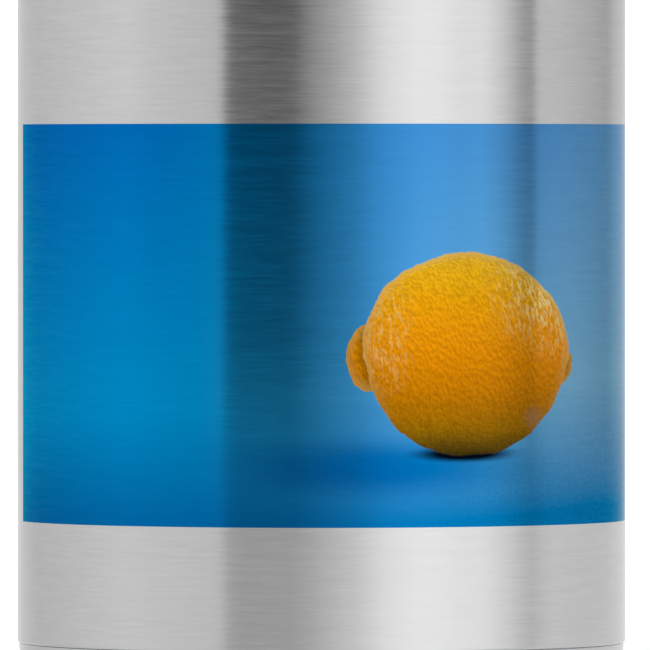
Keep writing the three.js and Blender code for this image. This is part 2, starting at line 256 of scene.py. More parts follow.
def winding_tree():
    """Winds an outline of (radius, 0, height) points round Z, with a pitch where it is a thread.

    A flat grid is rolled up: its rows follow the outline's points and its columns go round the axis.
    """
    floats = ("Turns", "Pitch", "Root Radius", "Run-out")
    tree, add, given = new_tree("Outline wound round the axis", floats, ("Steps",))
    outline = given["Geometry"]
    size = add("GeometryNodeAttributeDomainSize", {"Geometry": outline})
    columns = add("Math ADD", (given["Steps"], 1.0))
    spans = {"Size X": 1.0, "Size Y": 1.0, "Vertices X": columns, "Vertices Y": size}
    grid = add("GeometryNodeMeshGrid", spans)
    across, along, _ = add("SeparateXYZ", (grid.node.outputs["UV Map"],)).node.outputs
    last_row = add("Math SUBTRACT", (size, 1.0))
    row = add("Math MULTIPLY", (along, last_row))
    whole_row = add("FunctionNodeFloatToInt", (row,), rounding_mode="ROUND")
    wanted = {"Geometry": outline, "Value": add("GeometryNodeInputPosition"), "Index": whole_row}
    sampled = add("GeometryNodeSampleIndex", wanted, data_type="FLOAT_VECTOR")
    radius, _, height = add("SeparateXYZ", (sampled,)).node.outputs
    turn = add("Math MULTIPLY", (across, given["Turns"]))
    left = add("Math SUBTRACT", (given["Turns"], turn))
    from_end = add("Math MINIMUM", (turn, left))
    # A tiny run-out keeps a turned piece at its full section all the way round.
    tiny = 1e-6
    started = add("Math ADD", (from_end, tiny))
    run_out = add("Math MAXIMUM", (given["Run-out"], tiny))
    grown = add("Math DIVIDE", (started, run_out))
    fade = add("MapRange SMOOTHSTEP", (grown, 0.0, 1.0, 0.0, 1.0))
    depth = add("Math SUBTRACT", (radius, given["Root Radius"]))
    faded_depth = add("Math MULTIPLY", (depth, fade))
    wound_radius = add("Math ADD", (faded_depth, given["Root Radius"]))
    faded_height = add("Math MULTIPLY", (height, fade))
    wound_height = add("Math MULTIPLY_ADD", (turn, given["Pitch"], faded_height))
    angle = add("Math MULTIPLY", (turn, FULL_TURN))
    x = add("Math MULTIPLY", (wound_radius, add("Math COSINE", (angle,))))
    y = add("Math MULTIPLY", (wound_radius, add("Math SINE", (angle,))))
    point = add("CombineXYZ", (x, y, wound_height))
    rolled = add("GeometryNodeSetPosition", {"Geometry": grid, "Position": point})
    joined = add("GeometryNodeMergeByDistance", {"Geometry": rolled, "Distance": 2 * SAME_PLACE})
    end_tree(add, joined, given["Material"])
    return tree


def groove_tree():
    """Presses a ring of equal upright grooves into the outer wall of a turned piece."""
    floats = ("Count", "Width Share", "Depth", "Wall Radius", "Low", "High", "Run-out")
    tree, add, given = new_tree("Grooves round a wall", floats)
    x, y, z = add("SeparateXYZ", (add("GeometryNodeInputPosition"),)).node.outputs
    turn = add("Math DIVIDE", (add("Math ARCTAN2", (y, x)), FULL_TURN))
    grooves = add("Math MULTIPLY", (turn, given["Count"]))
    # The fraction runs from 0 to 1 between two ribs, and a groove has its middle at a half.
    fraction = add("Math FLOORED_MODULO", (grooves, 1.0))
    aside = add("Math ABSOLUTE", (add("Math SUBTRACT", (fraction, 0.5)),))
    half_share = add("Math MULTIPLY", (given["Width Share"], 0.5))
    across = add("MapRange SMOOTHSTEP", (aside, half_share, 0.0, 0.0, 1.0))
    above = add("Math SUBTRACT", (z, given["Low"]))
    below = add("Math SUBTRACT", (given["High"], z))
    from_end = add("Math MINIMUM", (above, below))
    ends = add("MapRange SMOOTHSTEP", (from_end, 0.0, given["Run-out"], 0.0, 1.0))
    flat = add("CombineXYZ", (x, y, 0.0))
    radius = add("VectorMath LENGTH", (flat,))
    inner_limit = add("Math SUBTRACT", (given["Wall Radius"], given["Depth"]))
    on_wall = add("Math GREATER_THAN", (radius, inner_limit))
    shape = add("Math MULTIPLY", (across, ends))
    pressed = add("Math MULTIPLY", (shape, on_wall))
    depth = add("Math MULTIPLY", (pressed, given["Depth"]))
    inwards = add("Math MULTIPLY", (depth, -1.0))
    outwards = add("VectorMath NORMALIZE", (flat,))
    shift = add("VectorMath SCALE", {0: outwards, 3: inwards})
    shaped = add("GeometryNodeSetPosition", {"Geometry": given["Geometry"], "Offset": shift})
    end_tree(add, shaped, given["Material"])
    return tree


WINDING = winding_tree()
GROOVES = groove_tree()


def new_object(name, mesh):
    """An object that carries a mesh, in the scene."""
    thing = bpy.data.objects.new(name, mesh)
    bpy.context.scene.collection.objects.link(thing)
    return thing


def applied(carrier, *helpers):
    """The mesh that an object's modifiers make. The object, its helpers and their meshes are taken away."""
    carrier.update_tag()
    bpy.context.view_layer.update()
    shaped = carrier.evaluated_get(bpy.context.evaluated_depsgraph_get())
    made = bpy.data.meshes.new_from_object(shaped)
    for thing in (carrier, *helpers):
        old = thing.data
        bpy.data.objects.remove(thing)
        bpy.data.meshes.remove(old)
    return made


def grown_mesh(mesh, tree, **values):
    """The plain mesh that a geometry tree makes from a mesh, with the tree's inputs given by name."""
    carrier = new_object("carrier", mesh)
    modifier = carrier.modifiers.new("tree", "NODES")
    modifier.node_group = tree
    for item in tree.interface.items_tree:
        key = item.name.replace(" ", "_").replace("-", "_").lower()
        if item.in_out == "INPUT" and key in values:
            modifier[item.identifier] = values[key]
    made = applied(carrier)
    # The grid brings an empty material slot of its own, so only the last slot is kept.
    dressed = made.materials[-1]
    made.materials.clear()
    made.materials.append(dressed)
    made.polygons.foreach_set("material_index", [0] * len(made.polygons))
    return made


def wound(points, material, turns=1.0, pitch=0.0, root_radius=0.0, run_out=0.0, steps=FINE_STEPS):
    """An outline of (radius, height) points, wound round the axis as a mesh."""
    outline = bpy.data.meshes.new("outline")
    edges = [(i, i + 1) for i in range(len(points) - 1)]
    outline.from_pydata([(p[0], 0, p[1]) for p in points], edges, [])
    sizes = {"turns": turns, "pitch": pitch, "root_radius": root_radius, "run_out": run_out}
    return grown_mesh(outline, WINDING, **sizes, steps=steps, material=material)


def turned(corners, material, steps=FINE_STEPS, fillet_steps=FILLET_STEPS):
    """A round piece turned from an outline of corners, which is closed where it stands clear of the axis."""
    points = rounded(corners, fillet_steps)
    if corners[0][0]:
        points.append(points[0])
    return wound(points, material, steps=steps)


def thread(root, tip, start_z, material):
    """A helical ridge from a root radius to a tip radius, fading out towards its two ends."""
    section = [(root, -THREAD_ROOT_HALF), (tip, -THREAD_TIP_HALF), (tip, THREAD_TIP_HALF)]
    section += [(root, THREAD_ROOT_HALF), (root, -THREAD_ROOT_HALF)]
    mesh = wound(section, material, THREAD_TURNS, THREAD_PITCH, root, THREAD_RUN_OUT, THREAD_STEPS)
    mesh.transform(Matrix.Translation((0, 0, start_z)))
    return mesh


def piece(name, node, body, slot, *meshes):
    """One finished piece in place of a CAD node: closed, facing out, smooth between its creases."""
    work = bmesh.new()
    for mesh in meshes:
        work.from_mesh(mesh)
    # A row of an outline that lies on the axis shrinks to a line, which is no part of the surface.
    bmesh.ops.delete(work, geom=[edge for edge in work.edges if edge.is_wire], context="EDGES")
    bmesh.ops.recalc_face_normals(work, faces=work.faces)
    made = bpy.data.meshes.new(name)
    made.materials.append(meshes[0].materials[0])
    work.to_mesh(made)
    work.free()
    for polygon in made.polygons:
        polygon.use_smooth = True
    made.set_sharp_from_angle(angle=CREASE)
    thing = new_object(name, made)
    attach(thing, body)
    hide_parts(node)


def cut(mesh, cutter):
    """A mesh with the space of a cutter mesh taken out of it."""
    carrier = new_object("carrier", mesh)
    tool = new_object("tool", cutter)
    modifier = carrier.modifiers.new("hole", "BOOLEAN")
    modifier.operation = "DIFFERENCE"
    modifier.solver = "EXACT"
    modifier.object = tool
    return applied(carrier, tool)


def along_x(mesh, side):
    """Turns a piece made round Z so that it lies on the pivot's line, to the right (1) or the left (-1)."""
    mesh.transform(Matrix.Rotation(side * QUARTER_TURN, 4, "Y"))
    mesh.transform(Matrix.Translation((0, 0, pivot_z)))
    return mesh


# ---------------------------------------------------------------- pieces of the bottle


def make_outer_shell(steel):
    """Brushed wall, shoulder and neck in one, with the rolled thread on the neck."""
    foot_edge = 0.35 * MM
    neck_top = shell_high.z
    outline = [
        (body_radius, seam_z, foot_edge),
        *quarter(NECK_RADIUS, body_radius, SHOULDER_Z, SHOULDER_RISE),
        (NECK_RADIUS, neck_top),
        (neck_inner, neck_top),
        *reversed(quarter(neck_inner, body_radius - WALL, SHOULDER_Z, SHOULDER_RISE - WALL)),
        (body_radius - WALL, seam_z),
    ]
    ridge = thread(NECK_RADIUS - THREAD_SUNK, NECK_RADIUS + THREAD_DEPTH, thread_z, steel)
    piece("brushed_outer_shell", "outer_shell", "bottle", "brushed_body", turned(outline, steel), ridge)


def make_inner_liner(steel):
    """Seamless cup that holds the drink, welded to the outer wall under a rounded lip."""
    floor_z = liner_low.z
    lip = 0.3 * MM
    weld_z = shell_high.z
    outline = [
        (0, floor_z),
        (liner_outer, floor_z, LINER_CORNER + WALL),
        *quarter(liner_neck_outer, liner_outer, LINER_SHOULDER_Z, LINER_SHOULDER_RISE),
        (liner_neck_outer, weld_z),
        (NECK_RADIUS, weld_z),
        (NECK_RADIUS, lip_z, lip),
        (mouth_radius, lip_z, lip),
        *reversed(quarter(mouth_radius, liner_outer - WALL, LINER_SHOULDER_Z, LINER_SHOULDER_RISE - WALL)),
        (liner_outer - WALL, floor_z + WALL, LINER_CORNER),
        (0, floor_z + WALL),
    ]
    piece("inner_cup", "inner_liner", "bottle", "plain_steel", turned(outline, steel))


def make_reflector_foil(foil):
    """Foil sleeve round the inner cup."""
    low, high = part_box("reflector_foil")
    inside = liner_outer + FIT
    outline = [(high.x, low.z), (high.x, high.z), (inside, high.z), (inside, low.z)]
    piece("foil_sleeve", "reflector_foil", "bottle", "foil", turned(outline, foil))


def make_base_cup(steel):
    """Pressed bottom: foot ring, recess for the pad, dimple and evacuation hole."""
    hole = 1.5 * MM
    dimple = 6 * MM
    dimple_depth = 1 * MM
    foot_inner = 30.5 * MM
    foot_corner = 2.4 * MM
    foot_z = cup_low.z
    under = foot_z + 1 * MM
    floor_z = under + WALL
    skirt = cup_high.x
    tuck = body_radius - WALL - FIT
    soft = 0.3 * MM
    outline = [
        (hole, under + dimple_depth),
        (dimple, under + dimple_depth, 0.5 * MM),
        (dimple, under, soft),
        (foot_inner, under, soft),
        (foot_inner, foot_z, soft),
        (skirt, foot_z, foot_corner),
        (skirt, seam_z, soft / 2),
        (tuck, seam_z),
        (tuck, cup_high.z),
        (tuck - WALL, cup_high.z),
        (tuck - WALL, floor_z + WALL, soft),
        (skirt - foot_corner - 0.1 * MM, floor_z, soft),
        (dimple + WALL, floor_z, soft),
        (dimple + WALL, floor_z + dimple_depth, soft),
        (hole, floor_z + dimple_depth),
    ]
    piece("pressed_base", "base_cup", "bottle", "brushed_body", turned(outline, steel))


def make_evacuation_seal(glass):
    """Bead of sealing glass, melted over the evacuation hole from below."""
    low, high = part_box("evacuation_seal")
    bead = quarter(0, high.x, high.z, low.z - high.z, steps=12)
    outline = [(0, high.z), *bead[:-1], (0, low.z)]
    piece("seal_bead", "evacuation_seal", "bottle", "seal_glass", turned(outline, glass, SMALL_STEPS))


def make_getter(steel):
    """Getter pill: a small pressed tin, open above, filled with a dull sintered block."""
    low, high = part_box("getter")
    radius = (high.x - low.x) / 2
    rim = 0.4 * MM
    outline = [
        (0, low.z),
        (radius, low.z, rim),
        (radius, high.z, rim / 3),
        (radius - rim, high.z, rim / 3),
        (radius - 1.5 * rim, high.z - rim),
        (0, high.z - rim),
    ]
    pill = turned(outline, steel, SMALL_STEPS)
    pill.transform(Matrix.Translation(((low.x + high.x) / 2, 0, 0)))
    piece("getter_pill", "getter", "bottle", "plain_steel", pill)


def make_base_pad(silicone):
    """Silicone disc under the base, with ring grooves so that it grips a wet table."""
    low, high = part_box("base_pad")
    edge = 0.4 * MM
    groove = 0.5 * MM
    half_groove = 0.8 * MM
    half_floor = 0.6 * half_groove
    outline = [(0, low.z)]
    for middle in (8 * MM, 13 * MM, 18 * MM, 23 * MM):
        outline += [
            (middle - half_groove, low.z, 0.2 * MM),
            (middle - half_floor, low.z + groove, 0.1 * MM),
            (middle + half_floor, low.z + groove, 0.1 * MM),
            (middle + half_groove, low.z, 0.2 * MM),
        ]
    outline += [(high.x, low.z, edge), (high.x, high.z, edge / 2), (0, high.z)]
    pad = turned(outline, silicone, fillet_steps=4)
    piece("grip_pad", "base_pad", "bottle", "silicone", pad)


# ---------------------------------------------------------------- pieces of the lid


def make_lid_gasket(silicone):
    """Silicone ring between the lip and the lid, with soft edges."""
    edge = 0.5 * MM
    radii = (gasket_high.x, 20.1 * MM)
    levels = (gasket_low.z, gasket_high.z)
    outline = [(radii[0], z, edge) for z in levels] + [(radii[1], z, edge) for z in reversed(levels)]
    piece("lid_seal_ring", "lid_gasket", "seal", "silicone", turned(outline, silicone))


def make_lid_shell(plastic):
    """Screw lid: grip grooves outside, thread inside, a well for the plate and a boss on each side."""
    ledge_z = lid_liner_high.z
    roof_z = lid_top - LID_ROOF
    well = plate_high.x + FIT
    well_z = tape_low.z
    chamber = lid_bore - LEDGE
    soft = 0.4 * MM
    low_row = lid_foot + GRIP_MARGIN
    high_row = lid_top - 2 * GRIP_MARGIN
    # The grooves press the rows of the wall, so it has many.
    rows = 40
    row_step = (high_row - low_row) / rows
    outline = [
        (lid_bore, lid_foot, soft),
        (lid_radius, lid_foot, soft),
        *[(lid_radius, low_row + row * row_step) for row in range(rows + 1)],
        (lid_radius, lid_top, LID_EDGE),
        (well, lid_top, soft / 2),
        (well, well_z),
        (0, well_z),
        (0, roof_z),
        (chamber, roof_z, soft),
        (chamber, ledge_z),
        (lid_bore, ledge_z),
    ]
    lid = grown_mesh(
        turned(outline, plastic, GRIP_GROOVES * STEPS_PER_GROOVE),
        GROOVES,
        count=float(GRIP_GROOVES),
        width_share=GRIP_WIDTH_SHARE,
        depth=GRIP_DEPTH,
        wall_radius=lid_radius,
        low=low_row,
        high=high_row,
        run_out=GRIP_RUN_OUT,
        material=plastic,
    )
    ridge = thread(lid_bore + THREAD_SUNK, lid_bore - THREAD_DEPTH, lid_foot + THREAD_PITCH / 2, plastic)
    hole = PIN_RADIUS + FIT
    boss_root = lid_radius - BOSS_SUNK
    bore_floor = boss_face - PIN_SUNK
    boss = [
        (hole, boss_root),
        (BOSS_RADIUS, boss_root),
        (BOSS_RADIUS, boss_face, 0.5 * MM),
        (hole, boss_face, 0.2 * MM),
    ]
    bore = [(0, bore_floor), (hole, bore_floor), (hole, boss_face), (0, boss_face)]
    bosses = []
    for side in (1, -1):
        bosses.append(along_x(turned(boss, plastic, SMALL_STEPS), side))
        lid = cut(lid, along_x(turned(bore, plastic, SMALL_STEPS), side))
    piece("screw_lid", "lid_shell", "lid", "black_plastic", lid, ridge, *bosses)


def make_lid_liner(plastic):
    """Inner cup of the lid: a hollow plug that dips into the mouth, and the flange on the gasket."""
    plug = 19.8 * MM
    wall = 1.5 * MM
    soft = 0.3 * MM
    flange, top = lid_liner_high.x, lid_liner_high.z
    flange_z = gasket_high.z
    outline = [
        (0, lid_liner_low.z),
        (plug, lid_liner_low.z, wall),
        (plug, flange_z, 0.2 * MM),
        (flange, flange_z, soft),
        (flange, top, soft),
        (plug - wall, top, soft),
        (plug - wall, lid_liner_low.z + wall, soft),
        (0, lid_liner_low.z + wall),
    ]
    piece("lid_plug", "lid_liner", "lid", "black_plastic", turned(outline, plastic))


def make_lid_foam(foam):
    """Moulded foam that fills the plug and the room under the lid's roof."""
    low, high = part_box("lid_foam")
    stem = 18 * MM
    shoulder_z = lid_liner_high.z
    skin = 0.8 * MM
    outline = [
        (0, low.z),
        (stem, low.z, skin),
        (stem, shoulder_z),
        (high.x, shoulder_z, skin / 2),
        (high.x, high.z, skin),
        (0, high.z),
    ]
    piece("lid_insulation", "lid_foam", "lid", "foam", turned(outline, foam))


def make_plate_tape(tape):
    """Die-cut disc of foam tape, with its edge pressed a little outwards in the middle."""
    radius = tape_high.x
    pressed = radius - 0.1 * MM
    middle = (tape_low.z + tape_high.z) / 2
    outline = [(0, tape_low.z), (pressed, tape_low.z), (radius, middle), (pressed, tape_high.z)]
    outline.append((0, tape_high.z))
    piece("tape_disc", "plate_tape", "lid", "foam", turned(outline, tape))


def make_lid_plate(steel):
    """Spun steel disc let into the lid, with a fine rolled edge."""
    radius, top = plate_high.x, plate_high.z
    outline = [(0, plate_low.z), (radius, plate_low.z, 0.1 * MM), (radius, top, 0.3 * MM), (0, top)]
    piece("top_plate", "lid_plate", "lid", "brushed_body", turned(outline, steel))


def make_handle_pin(side, name, steel):
    """Turned pin with a low domed head, pressed into the boss on one side."""
    root = boss_face - PIN_SUNK
    head_radius = 3.4 * MM
    head = 1.2 * MM
    dome = 0.6 * head
    dimple = 0.15 * MM
    tip = pin_high.x
    outline = [
        (0, root),
        (PIN_RADIUS, root, 0.4 * MM),
        (PIN_RADIUS, tip - head),
        (head_radius, tip - head, 0.15 * MM),
        (head_radius, tip - dome, 0.15 * MM),
    ]
    # The dome is an arc of an ellipse, with a small turned dimple in its middle.
    arc = quarter(0, head_radius, tip - dome, dome, steps=17)[1:-1]
    points = [*rounded(outline), *arc, (0, tip - dimple)]
    pin = along_x(turned(points, steel, SMALL_STEPS), side)
    piece(f"turned_pin_{name}", f"handle_pin_{name}", "lid", "plain_steel", pin)


def handle_path():
    """Stations along the bail: middle point, thickness direction, half thickness and half width."""
    half_width = handle_high.y
    inner_x = boss_face + FIT
    outer_x = inner_x + ARM_THICKNESS
    middle_x = (inner_x + outer_x) / 2
    top_z = handle_high.z
    straight_end = top_z - HANDLE_OUTER_CORNER
    sideways = Vector((1, 0))
    foot_steps = 17
    straight_steps = 8
    corner_steps = 24
    stations = []
    for step in range(1, foot_steps):
        angle = QUARTER_TURN * (1 - step / foot_steps)
        middle = Vector((middle_x, pivot_z - half_width * math.sin(angle)))
        stations.append((middle, sideways, ARM_THICKNESS / 2, half_width * math.cos(angle)))
    for step in range(straight_steps):
        middle = Vector((middle_x, pivot_z + (straight_end - pivot_z) * step / straight_steps))
        stations.append((middle, sideways, ARM_THICKNESS / 2, half_width))
    outer_centre = Vector((outer_x - HANDLE_OUTER_CORNER, straight_end))
    inner_centre = Vector((inner_x - HANDLE_INNER_CORNER, top_z - BAR_THICKNESS - HANDLE_INNER_CORNER))
    for step in range(corner_steps + 1):
        angle = QUARTER_TURN * step / corner_steps
        aim = Vector((math.cos(angle), math.sin(angle)))
        outer = outer_centre + aim * HANDLE_OUTER_CORNER
        inner = inner_centre + aim * HANDLE_INNER_CORNER
        through = outer - inner
        stations.append(((outer + inner) / 2, through.normalized(), through.length / 2, half_width))
    flip = Vector((-1, 1))
    return stations + [(m * flip, n * flip, thick, wide) for m, n, thick, wide in reversed(stations)]


def make_carry_handle(plastic):
    """Bail handle: a soft-edged strap from pin to pin, with round feet."""
    edge = 1.3 * MM
    # A foot's end is thinner than its edges are round, so they shrink to just under half of it.
    roundest = 0.98
    work = bmesh.new()
    rings = []
    for middle, aim, half_thickness, half_width in handle_path():
        fillet = min(edge, roundest * half_width, roundest * half_thickness)
        ring = []
        for corner, (right, front) in enumerate(((1, 1), (-1, 1), (-1, -1), (1, -1))):
            for step in range(FILLET_STEPS + 1):
                angle = QUARTER_TURN * (corner + step / FILLET_STEPS)
                across = right * (half_thickness - fillet) + fillet * math.cos(angle)
                wide = front * (half_width - fillet) + fillet * math.sin(angle)
                flat = middle + aim * across
                ring.append(work.verts.new((flat.x, wide, flat.y)))
        rings.append(ring)
    for low, high in zip(rings, rings[1:]):
        for index in range(len(low)):
            after = (index + 1) % len(low)
            work.faces.new((low[index], low[after], high[after], high[index]))
    work.faces.new(rings[0])
    work.faces.new(rings[-1][::-1])
    bmesh.ops.remove_doubles(work, verts=work.verts, dist=SAME_PLACE)
    bmesh.ops.recalc_face_normals(work, faces=work.faces)
    strap = bpy.data.meshes.new("strap")
    work.to_mesh(strap)
    work.free()
    strap.materials.append(plastic)
    hole = PIN_RADIUS + FIT
    reach = handle_high.x + 1 * MM
    drill = [(0, lid_radius), (hole, lid_radius), (hole, reach), (0, reach)]
    for side in (1, -1):
        strap = cut(strap, along_x(turned(drill, plastic, SMALL_STEPS), side))
    piece("bail_handle", "carry_handle", "handle", "black_plastic", strap)


# ---------------------------------------------------------------- materials of the pieces


def finish(add, shader, colour, gloss, relief, **more):
    """A shader's colour, roughness and bump.

    The roughness is (pattern, its low, its high, the roughness at low, the roughness at high), and the
    bump is (pattern, strength, depth in millimetres).
    """
    pattern, strength, depth_mm = relief
    bump = add("Bump", {"Strength": strength, "Distance": depth_mm * MM, "Height": pattern, **more})
    fill(shader, {"Base Color": colour, "Roughness": add("MapRange", gloss), "Normal": bump})


def brushed_grain(add, point, height_mm, length_mm):
    """Level of a field of fine lines that run round the body, each so high and so long."""
    stretch = (1 / length_mm, 1 / length_mm, 1 / height_mm)
    drawn = add("VectorMath MULTIPLY", (point, stretch))
    return add("TexNoise", {"Vector": drawn, "Scale": 1.0, "Detail": 3.0, "Roughness": 0.6})


def toned(add, code, pattern, low, high, darker, lighter):
    """A colour that goes from darker to lighter as a pattern goes from low to high."""
    tone = add("MapRange", (pattern, low, high, darker, lighter))
    return add("VectorMath SCALE", {0: srgb(code)[:3], 3: tone})


def brushed_steel(name):
    """304 stainless steel, brushed round the body with a 180 grit belt, with its node tree and its parts.

    The eye sees upright bands of mirrored light that are sharp sideways and smeared up and down,
    crossed by fine level lines. The real lines are about 0.05 mm high, and these are drawn 0.2 mm high.
    """
    # A quarter turn lays the smear across the lines, which run round the axis.
    material, add, steel = surface(name, {"Anisotropic": 0.6, "Anisotropic Rotation": 0.25})
    point = place_mm(add)
    fine = brushed_grain(add, point, 0.18, 4.0)
    coarse = brushed_grain(add, point, 0.6, 10.0)
    lines = add("Mix FLOAT", {0: 0.4, 2: fine, 3: coarse})
    colour = toned(add, "d8d8d8", lines, 0.25, 0.75, 0.945, 1.045)
    # Each line also tips the mirror a little to the side, which frays the edges of the bands.
    elsewhere = add("VectorMath ADD", (point, (0, 0, 500)))
    sway = brushed_grain(add, elsewhere, 0.22, 7.0)
    tilt = add("MapRange", (sway, 0.25, 0.75, -0.01, 0.01))
    facing = add("NewGeometry", out=1)
    sideways = add("VectorMath CROSS_PRODUCT", ((0, 0, 1), facing))
    lean = add("VectorMath SCALE", {0: sideways, 3: tilt})
    tipped = add("VectorMath NORMALIZE", (add("VectorMath ADD", (facing, lean)),))
    finish(add, steel, colour, (lines, 0.3, 0.7, 0.15, 0.19), (lines, 0.2, 0.02), Normal=tipped)
    # A few of the deepest lines scatter light, which shows as pale lines in dark reflections.
    scatter = add("MapRange", (lines, 0.4, 0.7, 1.0, 0.93))
    round_axis = add("Tangent", direction_type="RADIAL", axis="Z")
    fill(steel, {"Tangent": round_axis, "Metallic": scatter})
    return material, add, steel, point, colour, scatter


def turned_steel():
    """304 stainless steel, deep drawn or turned, then electropolished.

    The eye sees a soft, bright satin with faint drawing rings and a slight unevenness of its gloss.
    """
    material, add, steel = surface("steel_electropolished", {"Metallic": 1.0})
    point = place_mm(add)
    rings = brushed_grain(add, point, 0.35, 25.0)
    cloud = add("TexNoise", {"Vector": point, "Scale": 0.12, "Detail": 2.0})
    colour = toned(add, "d3d4d5", cloud, 0.3, 0.7, 0.94, 1.04)
    finish(add, steel, colour, (cloud, 0.3, 0.7, 0.2, 0.3), (rings, 0.15, 0.02))
    return material


def spun_steel():
    """304 stainless steel disc, brushed while it spins.

    The eye sees two bright fans of light that turn round the middle, made of fine rings.
    The real rings are about 0.03 mm apart, and these are drawn 0.15 mm apart.
    """
    fixed = {"Metallic": 1.0, "Anisotropic": 0.8, "Anisotropic Rotation": 0.25}
    material, add, steel = surface("steel_spun_disc", fixed)
    fill(steel, {"Tangent": add("Tangent", direction_type="RADIAL", axis="Z")})
    x, y, _ = add("SeparateXYZ", (place_mm(add),)).node.outputs
    flat = add("CombineXYZ", (x, y, 0.0))
    ring = add("Math MULTIPLY", (add("VectorMath LENGTH", (flat,)), 1 / 0.15))
    along = add("VectorMath SCALE", {0: add("VectorMath NORMALIZE", (flat,)), 3: 3.0})
    # The level follows the radius quickly and the turn slowly, so that a ring fades in and out.
    spun = add("VectorMath ADD", (along, add("CombineXYZ", (0.0, 0.0, ring))))
    lines = add("TexNoise", {"Vector": spun, "Scale": 1.0, "Detail": 2.0})
    colour = toned(add, "d6d6d6", lines, 0.25, 0.75, 0.9, 1.08)
    finish(add, steel, colour, (lines, 0.3, 0.7, 0.2, 0.28), (lines, 0.25, 0.02))
    return material


def bright_foil():
    """Rolled aluminium foil, bright side out, pulled round a cylinder.

    The eye sees sharp, broken reflections along soft creases.
    """
    material, add, foil = surface("aluminium_foil_bright", {"Metallic": 1.0})
    point = place_mm(add)
    creases = add("TexVoronoi DISTANCE_TO_EDGE", {"Vector": point, "Scale": 0.14, "Randomness": 1.0})
    ripples = add("TexNoise", {"Vector": point, "Scale": 0.3, "Detail": 4.0})
    folds = add("Math ADD", (creases, ripples))
    colour = add("Mix RGBA", {0: ripples, 6: "e3e4e6", 7: "f1f2f4"})
    finish(add, foil, colour, (ripples, 0.3, 0.7, 0.12, 0.22), (folds, 0.5, 0.4))
    return material


def sealing_glass():
    """Lead-free sealing glass, melted in a vacuum oven.

    The eye sees a dark, glossy bead with small bubbles and a greyer rim.
    """
    material, add, glass = surface("glass_sealing_fused", {"IOR": 1.6})
    point = place_mm(add)
    cloud = add("TexNoise", {"Vector": point, "Scale": 0.8, "Detail": 3.0})
    colour = add("ValToRGB", (cloud,), stops=[(0.35, "2f363b"), (0.65, "5a646a")])
    bubbles = add("TexVoronoi", {"Vector": point, "Scale": 2.5})
    pits = add("MapRange", (bubbles, 0.0, 0.25, 0.0, 1.0))
    finish(add, glass, colour, (pits, 0.0, 1.0, 0.3, 0.08), (pits, 0.4, 0.05))
    return material


def moulded_silicone():
    """Silicone rubber, compression moulded in a spark-eroded tool.

    The eye sees a soft grey with a dusty matt skin, a little lighter where it is rubbed.
    """
    material, add, rubber = surface("silicone_moulded", {"IOR": 1.42, "Sheen Weight": 0.15})
    point = place_mm(add)
    dust = add("TexNoise", {"Vector": point, "Scale": 0.25, "Detail": 5.0, "Roughness": 0.65})
    stops = [(0.3, "5f6365"), (0.55, "6e7274"), (0.8, "85898a")]
    colour = add("ValToRGB", (dust,), stops=stops)
    grain = add("TexNoise", {"Vector": point, "Scale": 5.0, "Detail": 2.0})
    finish(add, rubber, colour, (dust, 0.3, 0.7, 0.62, 0.78), (grain, 0.3, 0.03))
    return material


def moulded_polypropylene():
    """Black polypropylene, injection moulded in a tool with a fine spark texture.

    The eye sees a near-black satin, broken by a grain of about 0.3 mm, and polished a little on its edges.
    """
    material, add, plastic = surface("polypropylene_black_textured", {"IOR": 1.49})
    point = place_mm(add)
    grain = add("TexVoronoi SMOOTH_F1", {"Vector": point, "Scale": 3.2})
    cloud = add("TexNoise", {"Vector": point, "Scale": 0.15, "Detail": 4.0})
    colour = add("ValToRGB", (cloud,), stops=[(0.3, "131415"), (0.7, "1c1d1f")])
    edges = add("MapRange", (add("NewGeometry", out=7), 0.51, 0.58, 0.0, 1.0))
    worn = add("Mix RGBA", {0: edges, 6: colour, 7: "2e2f31"})
    finish(add, plastic, worn, (cloud, 0.3, 0.7, 0.36, 0.48), (grain, 0.35, 0.04))
    return material


def bead_foam():
    """Expanded polypropylene bead foam, steam moulded.

    The eye sees an off-white skin of pressed beads about 2.5 mm across, with faint seams between them.
    """
    material, add, foam = surface("foam_expanded_bead")
    point = place_mm(add)
    beads = add("TexVoronoi DISTANCE_TO_EDGE", {"Vector": point, "Scale": 0.4, "Randomness": 0.8})
    seams = add("MapRange SMOOTHSTEP", (beads, 0.0, 0.12, 0.0, 1.0))
    colour = add("Mix RGBA", {0: seams, 6: "d8d5cc", 7: "f0eee8"})
    finish(add, foam, colour, (seams, 0.0, 1.0, 0.85, 0.65), (seams, 0.6, 0.15))
    return material


def foam_tape():
    """Acrylic foam tape, die cut.

    The eye sees a milky, slightly tacky grey-white with fine open cells on its cut edge.
    """
    material, add, tape = surface("tape_acrylic_foam")
    cells = add("TexVoronoi", {"Vector": place_mm(add), "Scale": 4.0})
    colour = add("ValToRGB", (cells,), stops=[(0.0, "c9c9c4"), (0.5, "e4e4e0")])
    finish(add, tape, colour, (cells, 0.0, 0.5, 0.6, 0.42), (cells, 0.5, 0.05))
    return material


# ---------------------------------------------------------------- the printed picture


def picture_place(add, point):
    """A point of the wall on the flat picture: millimetres to the right of its middle and above it."""
    sideways = (math.cos(PICTURE_TURN), -math.sin(PICTURE_TURN), 0)
    across = add("VectorMath DOT_PRODUCT", (point, sideways))
    _, _, height = add("SeparateXYZ", (point,)).node.outputs
    up = add("Math SUBTRACT", (height, PICTURE_MIDDLE_MM))
    flat = add("CombineXYZ", (across, up, 0.0))
    return across, up, flat


